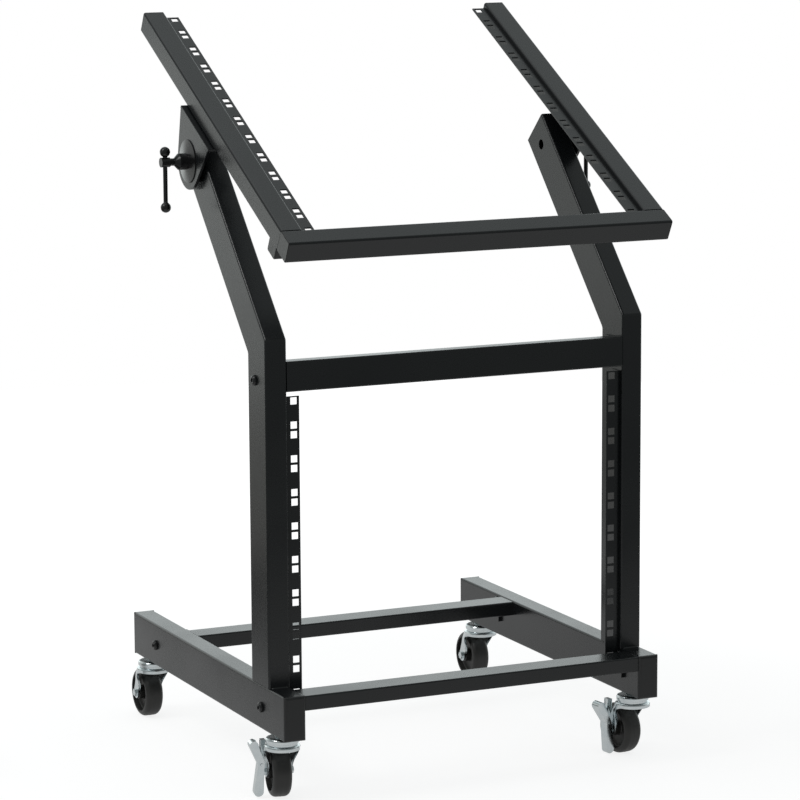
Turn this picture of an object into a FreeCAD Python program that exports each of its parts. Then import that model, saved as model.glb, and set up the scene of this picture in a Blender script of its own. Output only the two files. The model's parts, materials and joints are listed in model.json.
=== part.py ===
import FreeCAD, Part
import math
import os
import types

import Sketcher

# Rolling equipment rack: two side frames on casters, joined by three crossbars, with a rack between the
# uprights and a second rack on a tilting frame clamped to their upper ends.
# +X is the rack's right, +Y its back, +Z up; the origin is on the floor, in the middle of its outline.

SIZES = [
    ("rail_front", -276.8, "front end of the base rails, along Y"),
    ("rail_length", 560, "base rail with its end caps"),
    ("rail_width", 30, "base rail tube, across"),
    ("rail_height", 60, "base rail tube, upright"),
    ("tube_wall", 1.5, "wall of every tube"),
    ("tube_radius", 3, "outer corner of the large tubes"),
    ("cap_lip", 2, "end cap's visible plate"),
    ("cap_plug", 12, "end cap's plug inside the tube"),
    ("cap_clearance", 0.1, "plug to tube wall"),
    ("cap_edge", 1, "rounding of a cap's outer edge"),
    ("upright_width", 30, "upright tube, across"),
    ("upright_depth", 60, "upright tube, front to back"),
    ("upright_setback", 52.5, "rail's front end to upright's front face"),
    ("upright_bend", 37.5, "middle crossbar's centre up to the bend"),
    ("upright_reach", 336, "bend to top end, on the centre line"),
    ("upright_lean", 43.6, "lean of the upper part, degrees"),
    ("bend_radius", 6, "outside of the bend"),
    ("pivot_inset", 29, "top end to pivot, on the centre line"),
    ("access_hole", 14, "hole in the inner wall at the pivot"),
    ("bar_wide", 40, "crossbar tube, long side"),
    ("bar_thick", 20, "crossbar tube, short side"),
    ("bar_radius", 2, "outer corner of the crossbars"),
    ("bar_drop", 1, "base crossbars' top below the rail's top"),
    ("front_bar_inset", 3, "rail's front end to front crossbar"),
    ("rear_bar_inset", 139, "rear crossbar to rail's rear end"),
    ("middle_bar_gap", 26.75, "lower strip's top up to middle crossbar's centre"),
    ("tab_thick", 4, "crossbars' fixing tabs"),
    ("tab_neck", 14, "base tab's width on the bar"),
    ("tab_drop", 37, "base tab's height"),
    ("tab_leg", 18, "base tab's leg, upright"),
    ("front_bolt_back", 37.5, "front crossbar to its bolt"),
    ("rear_bolt_back", 49, "rear crossbar to its bolt"),
    ("middle_bolt_back", 16, "middle crossbar to its bolt"),
    ("middle_bolt_drop", 7, "middle crossbar's centre down to its bolt"),
    ("bolt_diameter", 8, "bolt shank"),
    ("bolt_clearance", 0.2, "bolt to its hole, all round"),
    ("bolt_head", 14, "button head"),
    ("bolt_head_height", 4.4, "button head"),
    ("weld_nut", 15, "weld nut, across"),
    ("weld_nut_height", 3, "weld nut"),
    ("unit_height", 44.45, "rack unit"),
    ("rack_width", 450, "clear width between the strips"),
    ("strip_face", 20, "rack strip's holed flange, from the side frame's inner face"),
    ("hole_inset", 7.55, "holed flange's inner edge to the middle of its holes"),
    ("hole_side", 9.5, "square rack hole"),
    ("hole_height", 6.35, "middle of a hole to its unit's edge"),
    ("strip_thick", 2, "rack strip sheet"),
    ("strip_flange", 20, "strip's fixing flange"),
    ("strip_recess", 7.5, "lower strip behind the upright's front"),
    ("lower_units", 9, "units in the lower rack"),
    ("lower_drop", 16.3, "lower strip's end below the rail's top"),
    ("top_units", 12, "units in the top rack"),
    ("top_tube", 30, "top frame's square tube"),
    ("top_tail_length", 5.6, "top strip's rear end to the rear of the top frame"),
    ("top_recess", 6, "top strip below the top face"),
    ("top_strip_gap", 1, "top strip to the front bar"),
    ("top_tilt", 27.8, "slope of the top frame, degrees"),
    ("pivot_back", 323, "top frame's front face to pivot"),
    ("pivot_drop", 53.5, "pivot below the top rails"),
    ("stop_tube", 25, "stop tube's square section"),
    ("stop_back", 44, "top frame's front face to stop tube"),
    ("stop_inset", 6, "stop tube's ends inside the rails' outer faces"),
    ("bracket_thick", 4, "pivot bracket plate"),
    ("bracket_length", 110, "pivot bracket along the rail"),
    ("bracket_lap", 25, "bracket's flange under the rail"),
    ("bracket_end", 38, "radius of the bracket's lower end"),
    ("disc_thick", 4, "friction disc"),
    ("disc_diameter", 56, "friction disc"),
    ("screw_diameter", 10, "clamp screw's shank"),
    ("screw_clearance", 0.05, "clamp screw to its bores, all round"),
    ("clamp_nut", 18, "clamp's weld nut, across"),
    ("clamp_nut_height", 8, "clamp's weld nut"),
    ("screw_tail", 2, "clamp screw past its nut"),
    ("flange_diameter", 58, "clamp screw's dished flange"),
    ("flange_rim", 1.2, "dished flange at its rim"),
    ("flange_thick", 4, "dished flange at the shoulder"),
    ("bell_diameter", 22, "clamp screw's shoulder"),
    ("bell_length", 14, "flange and shoulder, along the axis"),
    ("neck_diameter", 10, "between shoulder and boss"),
    ("neck_start", 20, "along the axis"),
    ("boss_diameter", 13, "boss that the bar slides in"),
    ("boss_length", 12.4, "boss, along the axis"),
    ("handle_reach", 38.8, "clamp screw outside the bracket"),
    ("bar_diameter", 6, "tommy bar"),
    ("bar_clearance", 0.1, "tommy bar to its hole, all round"),
    ("ball_diameter", 14, "tommy bar's end balls"),
    ("ball_spacing", 74, "ball to ball"),
    ("ball_clearance", 0.3, "resting ball to boss"),
    ("caster_height", 91, "floor to rail"),
    ("caster_front_inset", 46, "rail's front end to front casters"),
    ("caster_rear_inset", 40, "rail's rear end to rear casters"),
    ("yaw_left_front", -11, "swivel as photographed, degrees"),
    ("yaw_right_front", 7, "swivel as photographed, degrees"),
    ("yaw_left_rear", 0, "swivel as photographed, degrees"),
    ("yaw_right_rear", 0, "swivel as photographed, degrees"),
    ("stem_diameter", 10, "caster stem"),
    ("stem_length", 22, "caster stem inside the rail"),
    ("stem_clearance", 0.05, "stem to its bores, all round"),
    ("collar_across", 17, "hex collar, across flats"),
    ("collar_height", 3, "hex collar"),
    ("race_diameter", 44, "upper race cup"),
    ("race_height", 7, "upper race cup"),
    ("race_gap", 0.3, "between the races"),
    ("crown_diameter", 48, "fork's race ring"),
    ("crown_lip", 3.6, "fork's race, above its skirt"),
    ("crown_height", 9.2, "fork's race and its skirt"),
    ("crown_round", 1.6, "shoulder of the skirt"),
    ("fork_sheet", 2.8, "fork's sheet"),
    ("rivet_diameter", 17, "king pin's rivet head"),
    ("rivet_height", 2.5, "king pin's rivet head"),
    ("trail", 28, "swivel axis to axle"),
    ("fork_front", 16, "fork legs' top ahead of the swivel axis"),
    ("fork_rear", 17, "fork legs' top behind the swivel axis"),
    ("fork_end", 8.5, "radius of a fork leg's end"),
    ("fork_shoulder", 21, "swivel axis to a leg's outer face, at its top"),
    ("fork_knee", 14, "axle up to where the legs start to spread"),
    ("arch_radius", 24, "hollow of the fork legs' front edge"),
    ("arch_back", 17, "swivel axis back to the deepest point of that hollow"),
    ("wheel_diameter", 70, "wheel"),
    ("wheel_width", 26, "wheel"),
    ("wheel_shoulder", 7.5, "tread's rounded shoulder"),
    ("wheel_rim", 8.5, "rim's thickness"),
    ("wheel_web", 10, "web's thickness"),
    ("hub_diameter", 19, "wheel hub"),
    ("hub_clearance", 0.3, "hub to fork leg"),
    ("fork_gap", 2, "wheel's side to fork leg"),
    ("axle_diameter", 8, "axle bolt"),
    ("axle_clearance", 0.05, "axle to wheel, all round"),
    ("axle_head", 11, "axle head and nut, across"),
    ("axle_head_height", 3.5, "axle head and nut"),
    ("brake_height", 45.5, "floor to brake pivot"),
    ("brake_sheet", 2, "brake lever's sheet"),
    ("brake_width", 16, "brake lever, over its flanges"),
    ("brake_axis", 5.7, "fork leg to brake pivot"),
    ("brake_inner", 3.6, "lever's waist inside its pivot"),
    ("brake_outer", 4.5, "lever's waist outside its pivot"),
    ("brake_pin", 4, "lever's pin"),
    ("brake_clearance", 0.1, "lever to pin, all round"),
    ("post_width", 10, "brake post on the fork leg"),
    ("post_out", 6.3, "brake post, outwards"),
    ("post_low", 5, "brake post below the pivot"),
    ("post_up", 33, "brake post above the pivot"),
    ("upper_lobe", 6, "upper pedal's round end"),
    ("upper_lobe_out", 11.5, "upper pedal's end, outwards"),
    ("upper_lobe_up", 31, "upper pedal's end, upwards"),
    ("lower_lobe", 6.6, "lower pedal's round end"),
    ("lower_lobe_out", 4.2, "lower pedal's end, outwards"),
    ("lower_lobe_down", 35, "lower pedal's end, downwards"),
    ("swing_left", 0, "brake lever as photographed, degrees"),
    ("swing_right", 8, "brake lever as photographed, degrees"),
]

V = FreeCAD.Vector
doc = FreeCAD.newDocument("rolling_rack")
sheet = doc.addObject("Spreadsheet::Sheet", "dims")
for row, (alias, amount, note) in enumerate(SIZES, 1):
    sheet.set(f"A{row}", alias)
    sheet.set(f"B{row}", str(amount))
    sheet.set(f"C{row}", note)
    sheet.setAlias(f"B{row}", alias)
doc.recompute()


def number(item):
    return item.value if isinstance(item, Size) else item


def words(item):
    return item.text if isinstance(item, Size) else str(item)


class Size:
    """A sheet value, or a sum of them, as a number and as the expression that drives a feature."""

    def __init__(self, value, text):
        self.value, self.text = value, text

    def __add__(self, other):
        return Size(self.value + number(other), f"({self.text} + {words(other)})")

    def __sub__(self, other):
        return Size(self.value - number(other), f"({self.text} - {words(other)})")

    def __mul__(self, other):
        return Size(self.value * number(other), f"({self.text} * {words(other)})")

    def __truediv__(self, other):
        return Size(self.value / number(other), f"({self.text} / {words(other)})")

    def __neg__(self):
        return Size(-self.value, f"(-{self.text})")

    __radd__ = __add__
    __rmul__ = __mul__


def trig(name, angle):
    return Size(getattr(math, name)(math.radians(angle.value)), f"{name}({angle.text} * 1 deg)")


d = types.SimpleNamespace(**{alias: Size(amount, f"dims.{alias}") for alias, amount, note in SIZES})
SIDES = (("left", -1), ("right", 1))
parts = []


def new_body(label):
    body = doc.addObject("PartDesign::Body", label)
    body.Label = label
    parts.append(body)
    return body


def origin_item(body, role):
    return next(item for item in body.Origin.OriginFeatures if item.Role == role)


def sketch(body, plane, lift=None):
    """Sketch on one of the body's origin planes, lifted along that plane's normal."""
    drawing = body.newObject("Sketcher::SketchObject", f"{body.Name}_sketch")
    drawing.AttachmentSupport = [(origin_item(body, plane), "")]
    drawing.MapMode = "FlatFace"
    if lift is not None:
        drawing.setExpression("AttachmentOffset.Base.z", lift.text)
    return drawing


def bind(drawing, row, size):
    if isinstance(size, Size):
        drawing.setExpression(f"Constraints[{row}]", size.text)


def pin(drawing, geometry, point, x, y):
    for kind, size in (("DistanceX", x), ("DistanceY", y)):
        row = drawing.addConstraint(Sketcher.Constraint(kind, -1, 1, geometry, point, number(size)))
        bind(drawing, row, size)


def polygon(drawing, corners):
    points = [V(number(x), number(y), 0) for x, y in corners]
    first, count = drawing.GeometryCount, len(points)
    for i in range(count):
        drawing.addGeometry(Part.LineSegment(points[i], points[(i + 1) % count]))
    for i in range(count):
        drawing.addConstraint(Sketcher.Constraint("Coincident", first + i, 2, first + (i + 1) % count, 1))
    for i, (x, y) in enumerate(corners):
        pin(drawing, first + i, 1, x, y)


def rectangle(drawing, x0, x1, y0, y1):
    polygon(drawing, [(x0, y0), (x1, y0), (x1, y1), (x0, y1)])


def circle(drawing, x, y, diameter):
    ring = drawing.addGeometry(Part.Circle(V(number(x), number(y), 0), V(0, 0, 1), number(diameter) / 2))
    pin(drawing, ring, 3, x, y)
    bind(drawing, drawing.addConstraint(Sketcher.Constraint("Diameter", ring, number(diameter))), diameter)


def lobe(drawing, left, right, top, x, y, radius):
    """Outline with a straight top edge and sides that run tangent into a round lower end."""
    centre, r = V(number(x), number(y), 0), number(radius)
    touches = []
    for corner, side in ((left, -1), (right, 1)):
        away = V(number(corner), number(top), 0) - centre
        angle = math.atan2(away.y, away.x) - side * math.acos(r / away.Length)
        touches.append((V(number(corner), number(top), 0), centre + V(math.cos(angle), math.sin(angle), 0) * r, angle))
    (a, a_touch, a_angle), (b, b_touch, b_angle) = touches
    first = drawing.GeometryCount
    drawing.addGeometry(Part.LineSegment(a, a_touch))
    drawing.addGeometry(Part.ArcOfCircle(Part.Circle(centre, V(0, 0, 1), r), a_angle, b_angle + 2 * math.pi))
    drawing.addGeometry(Part.LineSegment(b_touch, b))
    drawing.addGeometry(Part.LineSegment(b, a))
    drawing.addConstraint(Sketcher.Constraint("Tangent", first, 2, first + 1, 1))
    drawing.addConstraint(Sketcher.Constraint("Tangent", first + 1, 2, first + 2, 1))
    drawing.addConstraint(Sketcher.Constraint("Coincident", first + 2, 2, first + 3, 1))
    drawing.addConstraint(Sketcher.Constraint("Coincident", first + 3, 2, first, 1))
    pin(drawing, first, 1, left, top)
    pin(drawing, first + 3, 1, right, top)
    pin(drawing, first + 1, 3, x, y)
    bind(drawing, drawing.addConstraint(Sketcher.Constraint("Radius", first + 1, r)), radius)


def finish(body, feature):
    body.Tip = feature
    doc.recompute()
    return feature


def pad(body, drawing, length, symmetric=False, back=False):
    feature = body.newObject("PartDesign::Pad", f"{body.Name}_pad")
    feature.Profile = drawing
    feature.SideType = "Symmetric" if symmetric else "One side"
    feature.Reversed = back
    feature.setExpression("Length", length.text)
    return finish(body, feature)


def pocket(body, drawing, length, symmetric=False, back=False):
    """Cut against the sketch's normal, or along it when back is set; a cut that removes nothing is an error."""
    before = body.Shape.Volume
    feature = body.newObject("PartDesign::Pocket", f"{body.Name}_pocket")
    feature.Profile = drawing
    feature.SideType = "Symmetric" if symmetric else "One side"
    feature.Reversed = back
    feature.setExpression("Length", length.text)
    finish(body, feature)
    if body.Shape.Volume > before - 1e-3:
        raise RuntimeError(f"{feature.Name} cuts nothing")
    return feature


def turn(body, axis, profile):
    """Turned form: profile of (along the axis, radius) pairs about X, or (radius, along) pairs about Z."""
    drawing = sketch(body, "XZ_Plane")
    polygon(drawing, profile)
    feature = body.newObject("PartDesign::Revolution", f"{body.Name}_turn")
    feature.Profile = drawing
    feature.ReferenceAxis = (drawing, ["H_Axis" if axis == "X" else "V_Axis"])
    feature.Angle = 360
    return finish(body, feature)


def fillet(body, radius, wanted):
    base = body.Tip
    names = [f"Edge{i}" for i, edge in enumerate(base.Shape.Edges, 1) if wanted(edge)]
    feature = body.newObject("PartDesign::Fillet", f"{body.Name}_fillet")
    feature.Base = (base, names)
    feature.setExpression("Radius", radius.text)
    return finish(body, feature)


def mirror(body, features, plane):
    feature = body.newObject("PartDesign::Mirrored", f"{body.Name}_mirror")
    feature.Originals = features
    feature.MirrorPlane = (origin_item(body, plane), [""])
    return finish(body, feature)


def repeat(body, features, axis, spacing, count):
    feature = body.newObject("PartDesign::LinearPattern", f"{body.Name}_row")
    feature.Originals = features
    feature.Direction = (origin_item(body, axis), [""])
    feature.setExpression("Length", (spacing * (count - 1)).text)
    feature.setExpression("Occurrences", count.text)
    return finish(body, feature)


def runs_along(edge, axis):
    if len(edge.Vertexes) < 2:
        return False
    step = edge.Vertexes[1].Point - edge.Vertexes[0].Point
    return step.Length > 1e-6 and abs(step.normalize() * axis) > 0.999


def place(body, x, y, z, axis=None, angle=None):
    if axis is not None:
        body.Placement = FreeCAD.Placement(V(), FreeCAD.Rotation(axis, angle.value))
        body.setExpression("Placement.Rotation.Angle", angle.text)
    for letter, size in zip("xyz", (x, y, z)):
        if isinstance(size, Size):
            body.setExpression(f"Placement.Base.{letter}", size.text)
    doc.recompute()


def tube(label, plane, wide, tall, length, radius):
    """Rectangular tube about the body's origin, along the normal of the plane it is drawn on."""
    body = new_body(label)
    outline = sketch(body, plane)
    rectangle(outline, -wide / 2, wide / 2, -tall / 2, tall / 2)
    pad(body, outline, length, symmetric=True)
    along = V(1, 0, 0) if plane == "YZ_Plane" else V(0, 1, 0)
    fillet(body, radius, lambda edge: runs_along(edge, along))
    bore = sketch(body, plane)
    rectangle(bore, d.tube_wall - wide / 2, wide / 2 - d.tube_wall, d.tube_wall - tall / 2, tall / 2 - d.tube_wall)
    pocket(body, bore, length * 2, symmetric=True)
    return body


def end_cap(label, wide, tall, radius):
    """Moulded cap: a plate with a rounded rim on +Z and a plug that goes into the tube on -Z."""
    body = new_body(label)
    plate = sketch(body, "XY_Plane")
    rectangle(plate, -wide / 2, wide / 2, -tall / 2, tall / 2)
    pad(body, plate, d.cap_lip)
    fillet(body, radius, lambda edge: runs_along(edge, V(0, 0, 1)))
    fillet(body, d.cap_edge, lambda edge: edge.BoundBox.ZMin > d.cap_lip.value - 1e-6)
    gap = d.tube_wall + d.cap_clearance
    plug = sketch(body, "XY_Plane")
    rectangle(plug, gap - wide / 2, wide / 2 - gap, gap - tall / 2, tall / 2 - gap)
    pad(body, plug, d.cap_plug, back=True)
    return body


# Base rails: rectangular tubes along Y, drilled for the crossbar bolts and, underneath, for the caster stems.
frame_width = d.rack_width + (d.strip_face + d.upright_width) * 2
rail_x = frame_width / 2 - d.rail_width / 2
rail_z = d.caster_height + d.rail_height / 2
rail_top = d.caster_height + d.rail_height
rail_middle = d.rail_front + d.rail_length / 2
front_bolt = d.front_bar_inset + d.bar_wide + d.front_bolt_back - d.rail_length / 2
rear_bolt = d.rail_length / 2 - d.rear_bar_inset + d.rear_bolt_back
front_caster = d.caster_front_inset - d.rail_length / 2
rear_caster = d.rail_length / 2 - d.caster_rear_inset
bolt_hole = d.bolt_diameter + d.bolt_clearance * 2
for name, side in SIDES:
    rail = tube(f"rail_{name}", "XZ_Plane", d.rail_width, d.rail_height,
                d.rail_length - d.cap_lip * 2, d.tube_radius)
    holes = sketch(rail, "YZ_Plane")
    for y in (front_bolt, rear_bolt):
        circle(holes, y, 0, bolt_hole)
    pocket(rail, holes, d.rail_width, symmetric=True)
    holes = sketch(rail, "XY_Plane")
    for y in (front_caster, rear_caster):
        circle(holes, 0, y, d.stem_diameter + d.stem_clearance * 2)
    pocket(rail, holes, d.rail_height)
    place(rail, rail_x * side, rail_middle, rail_z)
    for end, facing in (("front", 1), ("rear", -1)):
        cap = end_cap(f"rail_cap_{name}_{end}", d.rail_width, d.rail_height, d.tube_radius)
        cap.Placement.Rotation = FreeCAD.Rotation(V(1, 0, 0), 90 * facing)
        place(cap, rail_x * side, rail_middle - (d.rail_length / 2 - d.cap_lip) * facing, rail_z)

# Uprights: one tube each, welded on the rail, bent back once, with a weld nut inside for the clamp screw.
lean_sin, lean_cos = trig("sin", d.upright_lean), trig("cos", d.upright_lean)
bend_slope = trig("tan", d.upright_lean / 2)
middle_bar_z = d.unit_height * d.lower_units - d.lower_drop + d.middle_bar_gap
upright_rise = middle_bar_z + d.upright_bend
upright_x = frame_width / 2 - d.upright_width / 2
upright_y = d.rail_front + d.upright_setback + d.upright_depth / 2
inner_x = frame_width / 2 - d.upright_width
pivot_arm = d.upright_reach - d.pivot_inset
pivot_y, pivot_z = pivot_arm * lean_sin, upright_rise + pivot_arm * lean_cos
middle_bolt_y = d.bar_thick + d.middle_bolt_back - d.upright_depth / 2
middle_bolt_z = middle_bar_z - d.middle_bolt_drop
screw_bore = d.screw_diameter + d.screw_clearance * 2


def bent_outline(half, foot, reach):
    """Side view of the bent tube at half its depth from the centre line."""
    end_y, end_z = reach * lean_sin, upright_rise + reach * lean_cos
    return [(-half, foot), (half, foot), (half, upright_rise - half * bend_slope),
            (end_y + half * lean_cos, end_z - half * lean_sin),
            (end_y - half * lean_cos, end_z + half * lean_sin), (-half, upright_rise + half * bend_slope)]


for name, side in SIDES:
    upright = new_body(f"upright_{name}")
    outline = sketch(upright, "YZ_Plane")
    polygon(outline, bent_outline(d.upright_depth / 2, d.tube_wall * 0, d.upright_reach))
    pad(upright, outline, d.upright_width, symmetric=True)
    low, high = upright_rise.value - d.upright_depth.value / 2, upright_rise.value + d.upright_depth.value / 2
    fillet(upright, d.bend_radius,
           lambda edge: runs_along(edge, V(1, 0, 0)) and low < edge.CenterOfMass.z < high)
    fillet(upright, d.tube_radius,
           lambda edge: runs_along(edge, V(0, 0, 1)) or runs_along(edge, V(0, lean_sin.value, lean_cos.value)))
    bore = sketch(upright, "YZ_Plane")
    polygon(bore, bent_outline(d.upright_depth / 2 - d.tube_wall, -d.tube_wall, d.upright_reach + d.tube_wall))
    pocket(upright, bore, d.upright_width - d.tube_wall * 2, symmetric=True)
    nut = sketch(upright, "YZ_Plane", (d.upright_width / 2 - d.tube_wall) * side)
    circle(nut, pivot_y, pivot_z, d.clamp_nut)
    pad(upright, nut, d.clamp_nut_height, back=side > 0)
    thread = sketch(upright, "YZ_Plane")
    circle(thread, pivot_y, pivot_z, screw_bore)
    pocket(upright, thread, d.upright_width, back=side > 0)
    access = sketch(upright, "YZ_Plane")
    circle(access, pivot_y, pivot_z, d.access_hole)
    pocket(upright, access, d.upright_width, back=side < 0)
    hole = sketch(upright, "YZ_Plane")
    circle(hole, middle_bolt_y, middle_bolt_z, bolt_hole)
    pocket(upright, hole, d.upright_width, symmetric=True)
    place(upright, upright_x * side, upright_y, rail_top)
    cap = end_cap(f"upright_cap_{name}", d.upright_width, d.upright_depth, d.tube_radius)
    place(cap, upright_x * side, upright_y + d.upright_reach * lean_sin,
          rail_top + upright_rise + d.upright_reach * lean_cos, V(1, 0, 0), -d.upright_lean)


# Crossbars: one flat tube for all three, with a bolt tab and its weld nut at each end, behind the bar.
def crossbar(label, wide, tall, tab, bolt_y, bolt_z):
    bar = tube(label, "YZ_Plane", wide, tall, inner_x * 2, d.bar_radius)
    plate = sketch(bar, "YZ_Plane", inner_x - d.tab_thick)
    polygon(plate, tab)
    plate = pad(bar, plate, d.tab_thick)
    nut = sketch(bar, "YZ_Plane", inner_x - d.tab_thick - d.weld_nut_height)
    circle(nut, bolt_y, bolt_z, d.weld_nut)
    nut = pad(bar, nut, d.weld_nut_height)
    mirror(bar, [plate, nut], "YZ_Plane")
    hole = sketch(bar, "YZ_Plane")
    circle(hole, bolt_y, bolt_z, bolt_hole)
    pocket(bar, hole, inner_x * 2, symmetric=True)
    return bar


base_bar_z = rail_top - d.bar_drop - d.bar_thick / 2
base_bolt_z = rail_z - base_bar_z
bar_back, bar_top = d.bar_wide / 2, d.bar_thick / 2
tab_low = bar_top - d.tab_drop
front_bar_y = d.rail_front + d.front_bar_inset + bar_back
rear_bar_y = d.rail_front + d.rail_length - d.rear_bar_inset - bar_back
for label, y, bolt_back in (("front_crossbar", front_bar_y, d.front_bolt_back),
                            ("rear_crossbar", rear_bar_y, d.rear_bolt_back)):
    tab_end = bar_back + bolt_back + d.weld_nut / 2
    base_tab = [(bar_back, tab_low), (tab_end, tab_low), (tab_end, tab_low + d.tab_leg),
                (bar_back + d.tab_neck, tab_low + d.tab_leg), (bar_back + d.tab_neck, bar_top - d.bar_radius),
                (bar_back, bar_top - d.bar_radius)]
    bar = crossbar(label, d.bar_wide, d.bar_thick, base_tab, bar_back + bolt_back, base_bolt_z)
    place(bar, 0, y, base_bar_z)

middle_tall = d.bar_wide / 2 - d.bar_radius
middle_end = d.bar_thick / 2 + d.middle_bolt_back + d.weld_nut / 2
middle_tab = [(d.bar_thick / 2, -middle_tall), (middle_end, -middle_tall), (middle_end, middle_tall),
              (d.bar_thick / 2, middle_tall)]
bar = crossbar("middle_crossbar", d.bar_thick, d.bar_wide, middle_tab,
               d.bar_thick / 2 + d.middle_bolt_back, -d.middle_bolt_drop)
place(bar, 0, d.rail_front + d.upright_setback + d.bar_thick / 2, rail_top + middle_bar_z)

# Crossbar bolts: button heads on the outer faces, shanks through the tube and the tab into the weld nut.
bolts = (("front", rail_middle + front_bolt, rail_z, d.rail_width),
         ("rear", rail_middle + rear_bolt, rail_z, d.rail_width),
         ("upright", upright_y + middle_bolt_y, rail_top + middle_bolt_z, d.upright_width))
for name, side in SIDES:
    for at, y, z, width in bolts:
        bolt = new_body(f"bolt_{name}_{at}")
        inwards = -(width + d.tab_thick + d.weld_nut_height)
        radius, head, tall = d.bolt_diameter / 2, d.bolt_head / 2, d.bolt_head_height
        turn(bolt, "X", [(x * side, r) for x, r in (
            (inwards, 0), (inwards, radius), (tall * 0, radius), (tall * 0, head), (tall * 0.3, head),
            (tall * 0.75, head * 0.82), (tall, head * 0.5), (tall, 0))])
        place(bolt, frame_width / 2 * side, y, z)


# Rack strips: punched angles; one flange carries the square holes, the other is fixed to the tube.
def rack_strip(label, side, units):
    """Strip along Z from the body's origin, its holed flange facing -Y and reaching in from the tube's face."""
    strip = new_body(label)
    reach = d.strip_face * side
    angle = sketch(strip, "XY_Plane")
    polygon(angle, [(0, 0), (-reach, 0), (-reach, d.strip_thick), (-d.strip_thick * side, d.strip_thick),
                    (-d.strip_thick * side, d.strip_flange), (0, d.strip_flange)])
    pad(strip, angle, d.unit_height * units)
    punch = sketch(strip, "XZ_Plane")
    hole_x = (d.strip_face - d.hole_inset) * side
    half = d.hole_side / 2
    for z in (d.hole_height, d.unit_height - d.hole_height):
        rectangle(punch, -hole_x - half, -hole_x + half, z - half, z + half)
    punch = pocket(strip, punch, d.strip_thick)
    repeat(strip, [punch], "Z_Axis", d.unit_height, units)
    return strip


for name, side in SIDES:
    strip = rack_strip(f"lower_strip_{name}", side, d.lower_units)
    place(strip, inner_x * side, d.rail_front + d.upright_setback + d.strip_recess, rail_top - d.lower_drop)

# Top frame: everything here is placed about the pivot and turned with the tilt.
axis_y, axis_z = upright_y + pivot_y, rail_top + pivot_z
tilt_sin, tilt_cos = trig("sin", d.top_tilt), trig("cos", d.top_tilt)


def place_tilted(body, x, back, up, turn_by=None):
    """Place a piece by its distance behind and above the pivot, along and across the top frame."""
    place(body, x, axis_y + back * tilt_cos - up * tilt_sin, axis_z + back * tilt_sin + up * tilt_cos,
          V(1, 0, 0), d.top_tilt if turn_by is None else turn_by)


rail_up = d.pivot_drop + d.top_tube / 2
top_depth = d.top_tube + d.top_strip_gap + d.unit_height * d.top_units + d.top_tail_length
top_rail_length = top_depth - d.top_tube - d.cap_lip
stop_up = d.pivot_drop - d.stop_tube / 2
for name, side in SIDES:
    x = (frame_width / 2 - d.top_tube / 2) * side
    rail = tube(f"top_rail_{name}", "XZ_Plane", d.top_tube, d.top_tube, top_rail_length, d.tube_radius)
    place_tilted(rail, x, d.top_tube + top_rail_length / 2 - d.pivot_back, rail_up)
    cap = end_cap(f"top_rail_cap_{name}", d.top_tube, d.top_tube, d.tube_radius)
    place_tilted(cap, x, top_depth - d.cap_lip - d.pivot_back, rail_up, d.top_tilt - 90)
    strip = rack_strip(f"top_strip_{name}", side, d.top_units)
    place_tilted(strip, inner_x * side, d.top_tube + d.top_strip_gap - d.pivot_back,
                 d.pivot_drop + d.top_tube - d.top_recess, d.top_tilt - 90)

stop_middle = d.stop_back + d.stop_tube / 2 - d.pivot_back
for label, size, inset, back, up in (("front_bar", d.top_tube, d.stop_inset * 0, d.top_tube / 2 - d.pivot_back, rail_up),
                                     ("stop_tube", d.stop_tube, d.stop_inset, stop_middle, stop_up)):
    cross_length = frame_width - (d.cap_lip + inset) * 2
    bar = tube(label, "YZ_Plane", size, size, cross_length, d.tube_radius)
    place_tilted(bar, 0, back, up)
    for name, side in SIDES:
        cap = end_cap(f"{label}_cap_{name}", size, size, d.tube_radius)
        cap.Placement.Rotation = (FreeCAD.Rotation(V(1, 0, 0), d.top_tilt.value)
                                  * FreeCAD.Rotation(V(0, 1, 0), 90 * side))
        place(cap, cross_length / 2 * side, axis_y + back * tilt_cos - up * tilt_sin,
              axis_z + back * tilt_sin + up * tilt_cos)

# Pivot brackets: plate bent under the rail, its lower end round about the pivot; a friction disc lies inside.
for name, side in SIDES:
    bracket = new_body(f"pivot_bracket_{name}")
    out = d.disc_thick + d.bracket_thick
    plate = sketch(bracket, "YZ_Plane", d.disc_thick * side)
    lobe(plate, -d.bracket_length / 2, d.bracket_length / 2, d.pivot_drop, 0, 0, d.bracket_end)
    pad(bracket, plate, d.bracket_thick, back=side < 0)
    flange = sketch(bracket, "XY_Plane", d.pivot_drop)
    rectangle(flange, -d.bracket_lap * side, out * side, -d.bracket_length / 2, d.bracket_length / 2)
    pad(bracket, flange, d.bracket_thick, back=True)
    hole = sketch(bracket, "YZ_Plane")
    circle(hole, 0, 0, screw_bore)
    pocket(bracket, hole, out * 2, symmetric=True)
    place_tilted(bracket, frame_width / 2 * side, d.pivot_drop * 0, d.pivot_drop * 0)
    disc = new_body(f"friction_disc_{name}")
    turn(disc, "X", [(d.disc_thick * 0, screw_bore / 2), (d.disc_thick * side, screw_bore / 2),
                     (d.disc_thick * side, d.disc_diameter / 2), (d.disc_thick * 0, d.disc_diameter / 2)])
    place(disc, frame_width / 2 * side, axis_y, axis_z)

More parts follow.
